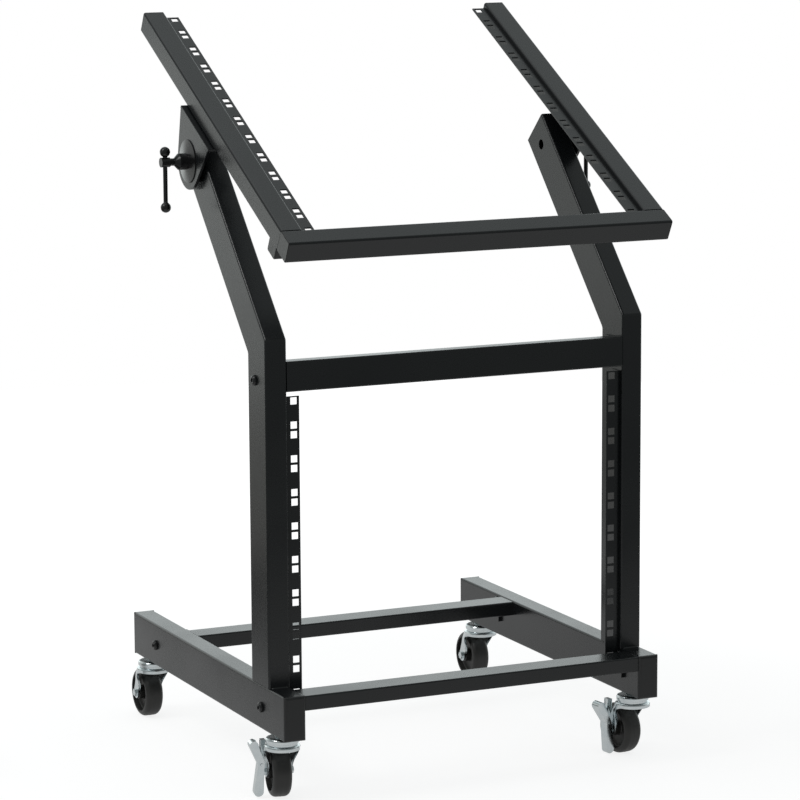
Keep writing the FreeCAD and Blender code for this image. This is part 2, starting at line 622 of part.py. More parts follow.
# Clamp screws: turned in one piece, with a shank into the upright's weld nut and a boss for a sliding bar.
bracket_face = frame_width / 2 + d.disc_thick + d.bracket_thick
bar_out = d.handle_reach - d.boss_length / 2
rest_up = d.boss_diameter / 2 + d.ball_diameter / 2 + d.ball_clearance
for name, side in SIDES:
    screw = new_body(f"clamp_screw_{name}")
    tail = -(d.bracket_thick + d.disc_thick + d.tube_wall + d.clamp_nut_height + d.screw_tail)
    boss = d.handle_reach - d.boss_length
    turn(screw, "X", [(x * side, r) for x, r in (
        (tail, 0), (tail, d.screw_diameter / 2), (d.flange_thick * 0, d.screw_diameter / 2),
        (d.flange_thick * 0, d.flange_diameter / 2), (d.flange_rim, d.flange_diameter / 2),
        (d.flange_thick, d.bell_diameter / 2), (d.bell_length, d.bell_diameter / 2),
        (d.neck_start, d.neck_diameter / 2), (boss, d.neck_diameter / 2), (boss, d.boss_diameter / 2),
        (d.handle_reach, d.boss_diameter / 2), (d.handle_reach, 0))])
    cross = sketch(screw, "XY_Plane")
    circle(cross, bar_out * side, 0, d.bar_diameter + d.bar_clearance * 2)
    pocket(screw, cross, d.boss_diameter * 2, symmetric=True)
    place(screw, bracket_face * side, axis_y, axis_z)
    bar = new_body(f"tommy_bar_{name}")
    rod = sketch(bar, "XY_Plane")
    circle(rod, 0, 0, d.bar_diameter)
    pad(bar, rod, d.ball_spacing, back=True)
    for z in (d.ball_spacing * 0, -d.ball_spacing):
        ball = bar.newObject("PartDesign::AdditiveSphere", f"{bar.Name}_ball")
        ball.setExpression("Radius", (d.ball_diameter / 2).text)
        ball.setExpression("Placement.Base.z", z.text)
        finish(bar, ball)
    place(bar, (bracket_face + bar_out) * side, axis_y, axis_z + rest_up)

# Casters: drawn about the swivel axis, with Z at the rail's underside, and turned to their photographed swivel.
axle_z = d.wheel_diameter / 2 - d.caster_height
race_low = -(d.collar_height + d.race_height)
crown_top = race_low - d.race_gap
crown_shoulder = crown_top - d.crown_lip
plate_low = crown_shoulder - d.fork_sheet
fork_under = crown_top - d.crown_height
leg_in = d.wheel_width / 2 + d.fork_gap
leg_out = leg_in + d.fork_sheet
stem_r = d.stem_diameter / 2
stem_bore = stem_r + d.stem_clearance
brake_x = leg_out + d.brake_axis
brake_z = d.brake_height - d.caster_height


def caster_stem(label):
    """Stem, hex collar, upper race cup and the king pin that is riveted under the fork, all one with the rail."""
    stem = new_body(label)
    race, rivet = d.race_diameter / 2, d.rivet_diameter / 2
    rivet_top = plate_low - d.race_gap
    turn(stem, "Z", [(0, d.stem_length), (stem_r, d.stem_length), (stem_r, -d.collar_height),
                     (race * 0.8, -d.collar_height), (race * 0.95, -d.collar_height - d.race_height * 0.15),
                     (race, -d.collar_height - d.race_height * 0.4), (race, race_low), (stem_r, race_low),
                     (stem_r, rivet_top), (rivet, rivet_top), (rivet * 0.8, rivet_top - d.rivet_height),
                     (0, rivet_top - d.rivet_height)])
    collar = sketch(stem, "XY_Plane")
    corner = d.collar_across / math.sqrt(3)
    polygon(collar, [(corner * math.cos(math.radians(60 * i)), corner * math.sin(math.radians(60 * i)))
                     for i in range(6)])
    pad(stem, collar, d.collar_height, back=True)
    return stem


def caster_fork(label, braked):
    """Pressed fork: spread legs, hollowed in front, under a skirt with its race; braked ones have a post and pin."""
    fork = new_body(label)
    low, knee, top_in = axle_z - d.fork_end, axle_z + d.fork_knee, d.fork_shoulder - d.fork_sheet
    legs = sketch(fork, "XZ_Plane")
    polygon(legs, [(-leg_out, low), (-leg_in, low), (-leg_in, knee), (-top_in, plate_low), (top_in, plate_low),
                   (leg_in, knee), (leg_in, low), (leg_out, low), (leg_out, knee), (d.fork_shoulder, plate_low),
                   (d.fork_shoulder, plate_low + d.crown_round), (-d.fork_shoulder, plate_low + d.crown_round),
                   (-d.fork_shoulder, plate_low), (-leg_out, knee)])
    length = (d.trail + d.fork_rear + d.fork_front + d.fork_end) * 2
    pad(fork, legs, length, symmetric=True)
    trim = sketch(fork, "YZ_Plane")
    rectangle(trim, -length, length, low * 2, d.collar_height)
    lobe(trim, -d.fork_front, d.fork_rear, crown_top, d.trail, axle_z, d.fork_end)
    pocket(fork, trim, leg_out * 4, symmetric=True)
    arch = sketch(fork, "YZ_Plane")
    circle(arch, d.arch_back - d.arch_radius, fork_under - d.arch_radius, d.arch_radius * 2)
    pocket(fork, arch, leg_out * 4, symmetric=True)
    crown, lip = d.crown_diameter / 2, d.race_diameter / 2
    turn(fork, "Z", [(stem_bore, plate_low), (crown - d.fork_sheet, plate_low), (crown - d.fork_sheet, fork_under),
                     (crown, fork_under), (crown, crown_shoulder - d.crown_round),
                     (crown - d.crown_round, crown_shoulder), (lip, crown_shoulder), (lip, crown_top),
                     (stem_bore, crown_top)])
    hole = sketch(fork, "XY_Plane")
    circle(hole, 0, 0, stem_bore * 2)
    pocket(fork, hole, -low)
    hole = sketch(fork, "YZ_Plane")
    circle(hole, d.trail, axle_z, d.axle_diameter + d.axle_clearance * 2)
    pocket(fork, hole, leg_out * 4, symmetric=True)
    if braked:
        post = sketch(fork, "XZ_Plane", -d.trail)
        rectangle(post, -leg_out - d.post_out, -leg_out, brake_z - d.post_low, brake_z + d.post_up)
        pad(fork, post, d.post_width, symmetric=True)
        pivot = sketch(fork, "XZ_Plane", -d.trail)
        circle(pivot, -brake_x, brake_z, d.brake_pin)
        pad(fork, pivot, d.brake_width + d.brake_sheet, symmetric=True)
    return fork


def brake_lever(label, swing):
    """Rocker pressed as a channel, open to the wheel: an upper and a lower pedal on either side of its pin."""
    lever = new_body(label)
    sine, cosine = trig("sin", swing), trig("cos", swing)

    def pedals(shift):
        for out, rise, radius, up in ((d.upper_lobe_out, d.upper_lobe_up, d.upper_lobe, True),
                                      (d.lower_lobe_out, -d.lower_lobe_down, d.lower_lobe, False)):
            ends = (shift - brake_x - d.brake_outer, shift - brake_x + d.brake_inner)
            outline = sketch(lever, "XZ_Plane", -d.trail)
            lobe(outline, ends[up], ends[not up], brake_z, shift - brake_x - out * cosine - rise * sine,
                 brake_z + rise * cosine - out * sine, radius)
            yield outline

    for outline in pedals(d.brake_sheet * 0):
        pad(lever, outline, d.brake_width, symmetric=True)
    for outline in pedals(d.brake_sheet * 1.2):
        pocket(lever, outline, d.brake_width - d.brake_sheet * 2, symmetric=True)
    bore = sketch(lever, "XZ_Plane", -d.trail)
    circle(bore, -brake_x, brake_z, d.brake_pin + d.brake_clearance * 2)
    pocket(lever, bore, d.brake_width * 2, symmetric=True)
    return lever


def caster_wheel(label):
    """Moulded wheel about its own axis: rounded tread, rim, web and hub."""
    wheel = new_body(label)
    bore = d.axle_diameter / 2 + d.axle_clearance
    hub, hub_x = d.hub_diameter / 2, leg_in - d.hub_clearance
    rim, edge = d.wheel_diameter / 2 - d.wheel_rim, d.wheel_width / 2
    turn(wheel, "X", [(-hub_x, bore), (hub_x, bore), (hub_x, hub), (d.wheel_web / 2, hub), (d.wheel_web / 2, rim),
                      (edge, rim), (edge, d.wheel_diameter / 2), (-edge, d.wheel_diameter / 2), (-edge, rim),
                      (-d.wheel_web / 2, rim), (-d.wheel_web / 2, hub), (-hub_x, hub)])
    tread = d.wheel_diameter.value / 2
    fillet(wheel, d.wheel_shoulder, lambda edge: edge.Curve.TypeId == "Part::GeomCircle"
           and abs(edge.Curve.Radius - tread) < 1e-3)
    return wheel


for end, inset, braked in (("front", front_caster, True), ("rear", rear_caster, False)):
    for name, side in SIDES:
        yaw = getattr(d, f"yaw_{name}_{end}")
        x, y, z = rail_x * side, rail_middle + inset, d.caster_height
        place(caster_stem(f"caster_stem_{name}_{end}"), x, y, z)
        place(caster_fork(f"caster_fork_{name}_{end}", braked), x, y, z, V(0, 0, 1), yaw)
        axle_x, axle_y = x - d.trail * trig("sin", yaw), y + d.trail * trig("cos", yaw)
        axle = new_body(f"caster_axle_{name}_{end}")
        shank, head, tip = d.axle_diameter / 2, d.axle_head / 2, leg_out + d.axle_head_height
        turn(axle, "X", [(-tip, 0), (-tip, head), (-leg_out, head), (-leg_out, shank), (leg_out, shank),
                         (leg_out, head), (tip, head), (tip, 0)])
        place(axle, axle_x, axle_y, z + axle_z, V(0, 0, 1), yaw)
        place(caster_wheel(f"caster_wheel_{name}_{end}"), axle_x, axle_y, z + axle_z, V(0, 0, 1), yaw)
        if braked:
            place(brake_lever(f"brake_lever_{name}", getattr(d, f"swing_{name}")), x, y, z, V(0, 0, 1), yaw)

# Check every object and every sub-part, then write one file for each.
doc.recompute()
faults = [item.Name for item in doc.Objects if {"Invalid", "Error"} & set(item.State)]
faults += [body.Label for body in parts
           if body.Shape.isNull() or not body.Shape.isValid() or len(body.Shape.Solids) != 1]
if faults:
    raise RuntimeError(f"failed: {', '.join(faults)}")
os.makedirs("parts", exist_ok=True)
for body in parts:
    body.Shape.exportStep(f"parts/{body.Label}.step")
print(f"{len(parts)} parts")
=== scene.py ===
import json
import math

import bmesh
import bpy
from mathutils import Matrix, Vector

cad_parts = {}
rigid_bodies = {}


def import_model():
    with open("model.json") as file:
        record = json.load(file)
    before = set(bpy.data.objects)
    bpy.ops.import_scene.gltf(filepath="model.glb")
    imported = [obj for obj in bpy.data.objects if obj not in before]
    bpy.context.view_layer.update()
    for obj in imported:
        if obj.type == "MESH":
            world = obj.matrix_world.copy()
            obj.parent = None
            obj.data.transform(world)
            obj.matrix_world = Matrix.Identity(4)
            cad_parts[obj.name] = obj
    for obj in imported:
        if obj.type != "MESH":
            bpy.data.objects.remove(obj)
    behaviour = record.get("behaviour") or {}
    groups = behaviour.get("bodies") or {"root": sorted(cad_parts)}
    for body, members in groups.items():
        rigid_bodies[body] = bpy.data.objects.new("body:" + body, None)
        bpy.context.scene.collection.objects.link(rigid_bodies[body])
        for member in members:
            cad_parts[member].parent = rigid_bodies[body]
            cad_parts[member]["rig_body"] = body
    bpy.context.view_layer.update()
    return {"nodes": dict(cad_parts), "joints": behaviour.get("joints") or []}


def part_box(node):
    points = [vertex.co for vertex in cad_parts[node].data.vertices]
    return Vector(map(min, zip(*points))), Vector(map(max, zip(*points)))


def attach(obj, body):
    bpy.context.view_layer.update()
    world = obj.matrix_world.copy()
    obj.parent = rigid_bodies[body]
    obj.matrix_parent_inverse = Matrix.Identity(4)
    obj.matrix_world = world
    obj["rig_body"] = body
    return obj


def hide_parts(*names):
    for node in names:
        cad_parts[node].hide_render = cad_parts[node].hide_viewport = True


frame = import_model()
scene = bpy.context.scene

# Camera: a long lens on the rack's left front, a little above the top frame and looking slightly down.
# Place, turn and lens shift are those that bring the tubes' edges onto the photograph.
CAMERA_PLACE = (-1.9556, -4.2958, 1.259)
HEADING, PITCH, ROLL = math.radians(-24.48), math.radians(90 - 9.78), math.radians(-0.34)
lens = bpy.data.cameras.new("camera")
lens.sensor_width = 36
lens.lens = 156.13
lens.shift_x, lens.shift_y = 0.0146, 0.0313
lens.clip_end = 200
camera = bpy.data.objects.new("camera", lens)
camera.matrix_world = (Matrix.Translation(CAMERA_PLACE) @ Matrix.Rotation(HEADING, 4, "Z")
                       @ Matrix.Rotation(PITCH, 4, "X") @ Matrix.Rotation(ROLL, 4, "Z"))
scene.collection.objects.link(camera)
scene.camera = camera

# Studio: a pale paper floor that runs out to a white surround, a low panel behind on the left, a key lamp on
# the left and a soft box overhead. What the coats mirror is bright behind the rack, dimmer overhead, on the
# left and on the camera's side, and dark at the back on the left, where the floor's glow for glossy rays and
# its diffuse colour are dimmed as painted shade.
scene.view_settings.view_transform = "Standard"
FACTOR, COLOUR_A, COLOUR_B, COLOUR_OUT = 0, 6, 7, 2


def node_tree(owner):
    owner.use_nodes = True
    owner.node_tree.nodes.clear()
    return owner.node_tree


def add(tree, kind, **settings):
    """Add a shader node; settings name its properties, or its inputs as in_Name."""
    node = tree.nodes.new(kind)
    for key, value in settings.items():
        if key.startswith("in_"):
            node.inputs[key[3:].replace("_", " ")].default_value = value
        else:
            setattr(node, key, value)
    return node


def ramp(tree, near, far, start=0.0, end=1.0):
    """A smooth step from start to end, as its value goes from near to far."""
    return add(tree, "ShaderNodeMapRange", interpolation_type="SMOOTHSTEP",
               in_From_Min=near, in_From_Max=far, in_To_Min=start, in_To_Max=end)


def colour_mix(tree, first=(0.5, 0.5, 0.5), second=(0.5, 0.5, 0.5)):
    """A mix of two colours by a factor; one that is linked needs no value here."""
    node = add(tree, "ShaderNodeMix", data_type="RGBA")
    node.inputs[COLOUR_A].default_value = (*first, 1)
    node.inputs[COLOUR_B].default_value = (*second, 1)
    return node


world = bpy.data.worlds.new("studio")
scene.world = world
tree = node_tree(world)
link = tree.links.new
out = add(tree, "ShaderNodeOutputWorld")
ray = add(tree, "ShaderNodeLightPath")
where = add(tree, "ShaderNodeTexCoord")
split = add(tree, "ShaderNodeSeparateXYZ")
depth = ramp(tree, -0.6, 0.45, 0.0, 1.08)
breadth = ramp(tree, -0.45, -0.05, 0.1, 1.0)
height = ramp(tree, 0.15, 0.75, 1.0, 0.34)
backed = add(tree, "ShaderNodeMath", operation="MULTIPLY")
backdrop = add(tree, "ShaderNodeMath", operation="MULTIPLY_ADD")
backdrop.inputs[2].default_value = 0.26
mirrored = add(tree, "ShaderNodeMix", in_A=0.45)
seen = add(tree, "ShaderNodeMix", in_B=1.0)
fill = colour_mix(tree, first=(0.93, 1, 1), second=(1, 1, 1))
surround = add(tree, "ShaderNodeBackground")
link(where.outputs["Generated"], split.inputs[0])
link(split.outputs["Y"], depth.inputs["Value"])
link(split.outputs["X"], breadth.inputs["Value"])
link(split.outputs["Z"], height.inputs["Value"])
link(depth.outputs["Result"], backed.inputs[0])
link(breadth.outputs["Result"], backed.inputs[1])
link(backed.outputs[0], backdrop.inputs[0])
link(height.outputs["Result"], backdrop.inputs[1])
link(backdrop.outputs[0], mirrored.inputs["B"])
link(ray.outputs["Is Glossy Ray"], mirrored.inputs["Factor"])
link(mirrored.outputs["Result"], seen.inputs["A"])
link(ray.outputs["Is Camera Ray"], seen.inputs["Factor"])
link(seen.outputs["Result"], surround.inputs["Strength"])
link(ray.outputs["Is Camera Ray"], fill.inputs[FACTOR])
link(fill.outputs[COLOUR_OUT], surround.inputs["Color"])
link(surround.outputs[0], out.inputs[0])

for name, place, aim, size, power, tint in (
        ("panel", (-0.79, 1.12, 0.47), (-0.2, -0.2, 0.47), (1.2, 0.92), 1.12, (1, 0.99, 0.93)),
        ("key", (-2.2, -0.15, 2.6), (0, 0, 0.4), (0.9, 0.9), 16, (1, 1, 1)),
        ("top_box", (-0.6, 0.4, 3.0), (0, 0, 0.5), (2.2, 2.2), 6, (1, 1, 1))):
    lamp = bpy.data.lights.new(name, "AREA")
    lamp.shape = "RECTANGLE"
    lamp.size, lamp.size_y = size
    lamp.energy = power
    lamp.color = tint
    holder = bpy.data.objects.new(name, lamp)
    holder.visible_camera = False
    turn = (Vector(aim) - Vector(place)).to_track_quat("-Z", "Y").to_matrix().to_4x4()
    holder.matrix_world = Matrix.Translation(place) @ turn
    scene.collection.objects.link(holder)

FLOOR_RADIUS = 3.2
bm = bmesh.new()
bmesh.ops.create_circle(bm, cap_ends=True, segments=96, radius=FLOOR_RADIUS)
mesh = bpy.data.meshes.new("floor")
bm.to_mesh(mesh)
bm.free()
floor = bpy.data.objects.new("floor", mesh)
scene.collection.objects.link(floor)

# Floor paper: the camera sees it lifted to white far out. For glossy rays alone it glows, a painted
# reflection for the coats to mirror, and that glow and its diffuse colour are dimmed at the back on the left,
# a painted dark patch that the coats mirror as shade.
paper = bpy.data.materials.new("floor_paper")
tree = node_tree(paper)
link = tree.links.new
out = add(tree, "ShaderNodeOutputMaterial")
ray = add(tree, "ShaderNodeLightPath")
where = add(tree, "ShaderNodeTexCoord")
split = add(tree, "ShaderNodeSeparateXYZ")
away = add(tree, "ShaderNodeVectorMath", operation="LENGTH")
fade = ramp(tree, 0.5, 1.6, 0.83, 1.0)
lift = add(tree, "ShaderNodeMath", operation="MULTIPLY")
# spread and back shape the glow that only glossy rays see, a painted reflection on the coats.
spread = ramp(tree, 1.0, 1.6, 1.0, 0.1)
back = ramp(tree, 0.25, 0.95, 0.46, 0.56)
# The painted dark patch: at the back on the left the floor's glossy glow and its diffuse colour fall off, as
# painted shade in the coats' reflections.
dark_patch_left = ramp(tree, -0.66, -0.48, -1.0, 0.0)
dark_patch_behind = ramp(tree, -0.05, 0.3)
painted_dark_patch = add(tree, "ShaderNodeMath", operation="MULTIPLY_ADD")
painted_dark_patch.inputs[2].default_value = 1.0
# tone: the floor's diffuse colour, darker inside the painted dark patch; sheet: the painted glossy glow
# before the patch trims it.
tone = add(tree, "ShaderNodeMapRange", in_To_Min=0.06, in_To_Max=0.28)
sheet = add(tree, "ShaderNodeMath", operation="MULTIPLY")
glossy_only_glow = add(tree, "ShaderNodeMath", operation="MULTIPLY")
mirrored = add(tree, "ShaderNodeMath", operation="MULTIPLY_ADD")
matte = add(tree, "ShaderNodeBsdfDiffuse")
glow = add(tree, "ShaderNodeEmission", in_Color=(1, 1, 1, 1))
both = add(tree, "ShaderNodeAddShader")
link(where.outputs["Object"], away.inputs[0])
link(where.outputs["Object"], split.inputs[0])
link(away.outputs["Value"], fade.inputs["Value"])
link(fade.outputs["Result"], lift.inputs[0])
link(ray.outputs["Is Camera Ray"], lift.inputs[1])
link(away.outputs["Value"], spread.inputs["Value"])
link(split.outputs["Y"], back.inputs["Value"])
link(split.outputs["X"], dark_patch_left.inputs["Value"])
link(split.outputs["Y"], dark_patch_behind.inputs["Value"])
link(dark_patch_left.outputs["Result"], painted_dark_patch.inputs[0])
link(dark_patch_behind.outputs["Result"], painted_dark_patch.inputs[1])
link(painted_dark_patch.outputs[0], tone.inputs["Value"])
link(tone.outputs["Result"], matte.inputs["Color"])
link(spread.outputs["Result"], sheet.inputs[0])
link(back.outputs["Result"], sheet.inputs[1])
link(sheet.outputs[0], glossy_only_glow.inputs[0])
link(painted_dark_patch.outputs[0], glossy_only_glow.inputs[1])
link(glossy_only_glow.outputs[0], mirrored.inputs[0])
link(ray.outputs["Is Glossy Ray"], mirrored.inputs[1])
link(lift.outputs[0], mirrored.inputs[2])
link(mirrored.outputs[0], glow.inputs["Strength"])
link(matte.outputs[0], both.inputs[0])
link(glow.outputs[0], both.inputs[1])
link(both.outputs[0], out.inputs["Surface"])
mesh.materials.append(paper)

# Base rails: rectangular steel tube, welded, sanded and powder coated satin black.
# Every coated tube and sheet is the CAD shape with its edges broken by some tenths of a millimetre, as the
# powder rounds them.
MM = 0.001
SIDES = {"left": -1, "right": 1}
nodes = frame["nodes"]


def effect(name, inputs, outputs):
    """A shader node group with named sockets; returns it with its input and output nodes."""
    group = bpy.data.node_groups.new(name, "ShaderNodeTree")
    for label, kind, value in inputs:
        socket = group.interface.new_socket(label, in_out="INPUT", socket_type=f"NodeSocket{kind}")
        socket.default_value = value
    for label, kind in outputs:
        group.interface.new_socket(label, in_out="OUTPUT", socket_type=f"NodeSocket{kind}")
    return group, add(group, "NodeGroupInput"), add(group, "NodeGroupOutput")


# Powder grain: a slow drift of tone, the melted powder's peel and a fine grain on top of it.
grain_group, given, result = effect(
    "powder_grain",
    (("Peel Scale", "Float", 420.0), ("Grain Scale", "Float", 1900.0), ("Drift Scale", "Float", 6.0)),
    (("Height", "Float"), ("Tone", "Float"), ("Polish", "Float")))
link = grain_group.links.new
where = add(grain_group, "ShaderNodeTexCoord")
peel = add(grain_group, "ShaderNodeTexNoise", in_Detail=1.5, in_Roughness=0.5)
grain = add(grain_group, "ShaderNodeTexNoise", in_Detail=2.0, in_Roughness=0.6)
drift = add(grain_group, "ShaderNodeTexNoise", in_Detail=3.0, in_Roughness=0.55)
blend = add(grain_group, "ShaderNodeMath", operation="MULTIPLY_ADD")
blend.inputs[1].default_value = 0.35
polish = add(grain_group, "ShaderNodeMath", operation="MULTIPLY_ADD")
polish.inputs[1].default_value = 0.4
for noise, scale in ((peel, "Peel Scale"), (grain, "Grain Scale"), (drift, "Drift Scale")):
    link(where.outputs["Object"], noise.inputs["Vector"])
    link(given.outputs[scale], noise.inputs["Scale"])
link(grain.outputs["Fac"], blend.inputs[0])
link(peel.outputs["Fac"], blend.inputs[2])
link(blend.outputs[0], result.inputs["Height"])
link(drift.outputs["Fac"], result.inputs["Tone"])
link(peel.outputs["Fac"], polish.inputs[0])
link(drift.outputs["Fac"], polish.inputs[2])
link(polish.outputs[0], result.inputs["Polish"])

# Edge wear: the broken edges carry an "edge" attribute, thinned here by patches of noise.
wear_group, given, result = effect(
    "edge_wear",
    (("Patch Scale", "Float", 90.0), ("Amount", "Float", 0.5)),
    (("Mask", "Float"),))
link = wear_group.links.new
where = add(wear_group, "ShaderNodeTexCoord")
marked = add(wear_group, "ShaderNodeAttribute", attribute_name="edge")
patches = add(wear_group, "ShaderNodeTexNoise", in_Detail=4.0, in_Roughness=0.65)
step = ramp(wear_group, 0.42, 0.62)
mask = add(wear_group, "ShaderNodeMath", operation="MULTIPLY")
amount = add(wear_group, "ShaderNodeMath", operation="MULTIPLY")
link(where.outputs["Object"], patches.inputs["Vector"])
link(given.outputs["Patch Scale"], patches.inputs["Scale"])
link(patches.outputs["Fac"], step.inputs["Value"])
link(step.outputs["Result"], mask.inputs[0])
link(marked.outputs["Fac"], mask.inputs[1])
link(mask.outputs[0], amount.inputs[0])
link(given.outputs["Amount"], amount.inputs[1])
link(amount.outputs[0], result.inputs["Mask"])


def coating(name, dark, light, worn, gloss, peel_scale, bump, patch_scale=90.0, amount=0.5):
    """A satin coat: grain for its tone, gloss and relief, and a lighter wear on its broken edges."""
    coat = bpy.data.materials.new(name)
    tree = node_tree(coat)
    link = tree.links.new
    out = add(tree, "ShaderNodeOutputMaterial")
    skin = add(tree, "ShaderNodeBsdfPrincipled", in_IOR=1.5)
    grain = add(tree, "ShaderNodeGroup", node_tree=grain_group, in_Peel_Scale=peel_scale)
    wear = add(tree, "ShaderNodeGroup", node_tree=wear_group, in_Patch_Scale=patch_scale, in_Amount=amount)
    tone = colour_mix(tree, first=dark, second=light)
    rubbed = colour_mix(tree, second=worn)
    polish = add(tree, "ShaderNodeMapRange", in_From_Min=0.45, in_From_Max=0.95,
                 in_To_Min=gloss[0], in_To_Max=gloss[1])
    relief = add(tree, "ShaderNodeBump", in_Strength=bump, in_Distance=0.0002)
    link(grain.outputs["Tone"], tone.inputs[FACTOR])
    link(wear.outputs["Mask"], rubbed.inputs[FACTOR])
    link(tone.outputs[COLOUR_OUT], rubbed.inputs[COLOUR_A])
    link(rubbed.outputs[COLOUR_OUT], skin.inputs["Base Color"])
    link(grain.outputs["Polish"], polish.inputs["Value"])
    link(polish.outputs["Result"], skin.inputs["Roughness"])
    link(grain.outputs["Height"], relief.inputs["Height"])
    link(relief.outputs["Normal"], skin.inputs["Normal"])
    link(skin.outputs[0], out.inputs["Surface"])
    return coat


frame_coat = coating("satin_powder_coat", dark=(0.0046, 0.0056, 0.0064), light=(0.0086, 0.0098, 0.0107),
                     worn=(0.024, 0.024, 0.025), gloss=(0.20, 0.32), peel_scale=420.0, bump=0.25, amount=0.3)
SHARP, CREASE = math.radians(30), math.radians(38)
SAME_PLACE, SAME_PLANE = 2e-6, math.radians(0.4)


def edges_of(geom):
    """The edges among what an operator returns."""
    return [item for item in geom if isinstance(item, bmesh.types.BMEdge)]


def is_sharp(edge):
    return len(edge.link_faces) == 2 and edge.calc_face_angle() > SHARP


def rounded(bm, edges, width, segments):
    """Round edges off and return the new faces."""
    return bmesh.ops.bevel(bm, geom=edges, offset=width, offset_type="OFFSET", segments=segments, profile=0.5,
                           affect="EDGES", material=-1, clamp_overlap=True)["faces"]


def broken(bm, width, segments=2, whole=None):
    """Round every sharp edge but those that whole picks, and mark the new faces for the wear on them."""
    sharp = [edge for edge in bm.edges if is_sharp(edge)]
    if whole:
        sharp = [edge for edge in sharp if not whole((edge.verts[0].co + edge.verts[1].co) / 2)]
    rounding = rounded(bm, sharp, width, segments)
    edge_mark = bm.loops.layers.float.new("edge")
    for face in rounding:
        for corner in face.loops:
            corner[edge_mark] = 1.0
    return bm


def merged(node):
    """The CAD node's shape as one closed mesh, with the flat faces whole again."""
    bm = bmesh.new()
    bm.from_mesh(nodes[node].data)
    bmesh.ops.remove_doubles(bm, verts=bm.verts, dist=SAME_PLACE)
    bmesh.ops.dissolve_limit(bm, angle_limit=SAME_PLANE, verts=bm.verts, edges=bm.edges)
    return bm


def put(name, bm, finish, body, slot, *replaced):
    """Turn a bmesh into a piece that rides on a body and stands for the CAD nodes named last."""
    mesh = bpy.data.meshes.new(name)
    bm.to_mesh(mesh)
    bm.free()
    mesh.materials.append(finish)
    mesh.shade_smooth()
    mesh.set_sharp_from_angle(angle=CREASE)
    piece = bpy.data.objects.new(name, mesh)
    scene.collection.objects.link(piece)
    flats = piece.modifiers.new("flat_faces", "WEIGHTED_NORMAL")
    flats.keep_sharp = True
    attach(piece, body)
    if replaced:
        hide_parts(*replaced)


def dress(node, finish, slot, width, segments=2, whole=None):
    """Put the CAD shape with broken edges and smooth curves in place of its node."""
    shape = broken(merged(node), width, segments, whole)
    put(f"{node}_finished", shape, finish, nodes[node]["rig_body"], slot, node)


TUBE_EDGE = 0.4 * MM
CAP_HEAD = 4.8 * MM
rail_ends = (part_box("rail_cap_left_front")[0].y + CAP_HEAD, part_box("rail_cap_left_rear")[1].y - CAP_HEAD)


def on_cap_seam(point):
    """Whether a point lies where a rail meets the head of its cap; the edges there stay whole."""
    return min(abs(point.y - y) for y in rail_ends) < 0.01 * MM


for name in SIDES:
    tube = merged(f"rail_{name}")
    for y, outward in zip(rail_ends, (-1, 1)):
        cut = bmesh.ops.bisect_plane(tube, geom=tube.verts[:] + tube.edges[:] + tube.faces[:],
                                     plane_co=(0, y, 0), plane_no=(0, outward, 0), dist=0.001 * MM,
                                     clear_outer=True)
        bmesh.ops.bridge_loops(tube, edges=edges_of(cut["geom_cut"]))
    broken(tube, TUBE_EDGE, whole=on_cap_seam)
    put(f"rail_{name}_finished", tube, frame_coat, "base", "frame_black", f"rail_{name}")

# Tube end caps: moulded in black plastic with a fine spark-eroded grain, pushed into every open tube end.
# Those of the rails are heads as wide as the tube with well rounded edges, on a plug inside it.
CAP_ROUND, CAP_EDGE = 4.2 * MM, 0.2 * MM
PLUG_STEP, PLUG_TAPER = 2.2 * MM, 0.3 * MM
cap_plastic = coating("moulded_cap_plastic", dark=(0.0060, 0.0061, 0.0064), light=(0.0095, 0.0096, 0.0098),
                      worn=(0.022, 0.022, 0.022), gloss=(0.26, 0.38), peel_scale=900.0, bump=0.3, amount=0.35)


def rail_cap(low, high, outward):
    """A head with its outer edges rounded and a plug behind it; outward is -1 in front and 1 at the rear."""
    outer = low.y if outward < 0 else high.y
    middle = Vector(((low.x + high.x) / 2, outer - outward * CAP_HEAD / 2, (low.z + high.z) / 2))
    bm = bmesh.new()
    bmesh.ops.create_cube(bm, size=1, matrix=Matrix.Translation(middle)
                          @ Matrix.Diagonal((high.x - low.x, CAP_HEAD, high.z - low.z, 1)))
    inner = [face for face in bm.faces if face.normal.y * outward < -0.5]
    bmesh.ops.inset_region(bm, faces=inner, thickness=PLUG_STEP)
    bmesh.ops.inset_region(bm, faces=inner, thickness=PLUG_TAPER, depth=high.y - low.y - CAP_HEAD)
    rim = [edge for edge in bm.edges
           if all((vert.co.y - middle.y) * outward > CAP_HEAD * 0.4 for vert in edge.verts)]
    rounded(bm, rim, CAP_ROUND, 8)
    return bm


for name in SIDES:
    for at, outward in (("front", -1), ("rear", 1)):
        node = f"rail_cap_{name}_{at}"
        cap = broken(rail_cap(*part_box(node), outward), TUBE_EDGE, whole=on_cap_seam)
        put(f"{node}_moulded", cap, cap_plastic, "base", "cap_black", node)
for node in nodes:
    if "_cap_" in node and not node.startswith("rail_cap"):
        dress(node, cap_plastic, "cap_black", CAP_EDGE)

# Crossbars: flat steel tube between the side frames, with a bolt tab welded on each end, coated as the rails
# are. The front and rear ones lie flat at the top of the rails, and the middle one stands on edge between the
# uprights.
for name in ("front", "rear", "middle"):
    dress(f"{name}_crossbar", frame_coat, "frame_black", TUBE_EDGE)

# Crossbar bolts: blackened steel with button heads, screwed through the tube and the tab from outside.
# Turned in one piece: a shank with a chamfered end, and a domed head with a hexagon socket sunk in its crown.
BOLT_HEAD, SOCKET_RADIUS, SOCKET_DEPTH, DRILL_POINT = 4.4, 2.9, 2.4, 0.7
bolt_black = coating("blackened_steel", dark=(0.0065, 0.0067, 0.0072), light=(0.012, 0.012, 0.0125),
                     worn=(0.05, 0.05, 0.052), gloss=(0.22, 0.34), peel_scale=1200.0, bump=0.15, amount=0.6)


def verts_of(geom):
    """The vertices among what an operator returns."""
    return [item for item in geom if isinstance(item, bmesh.types.BMVert)]


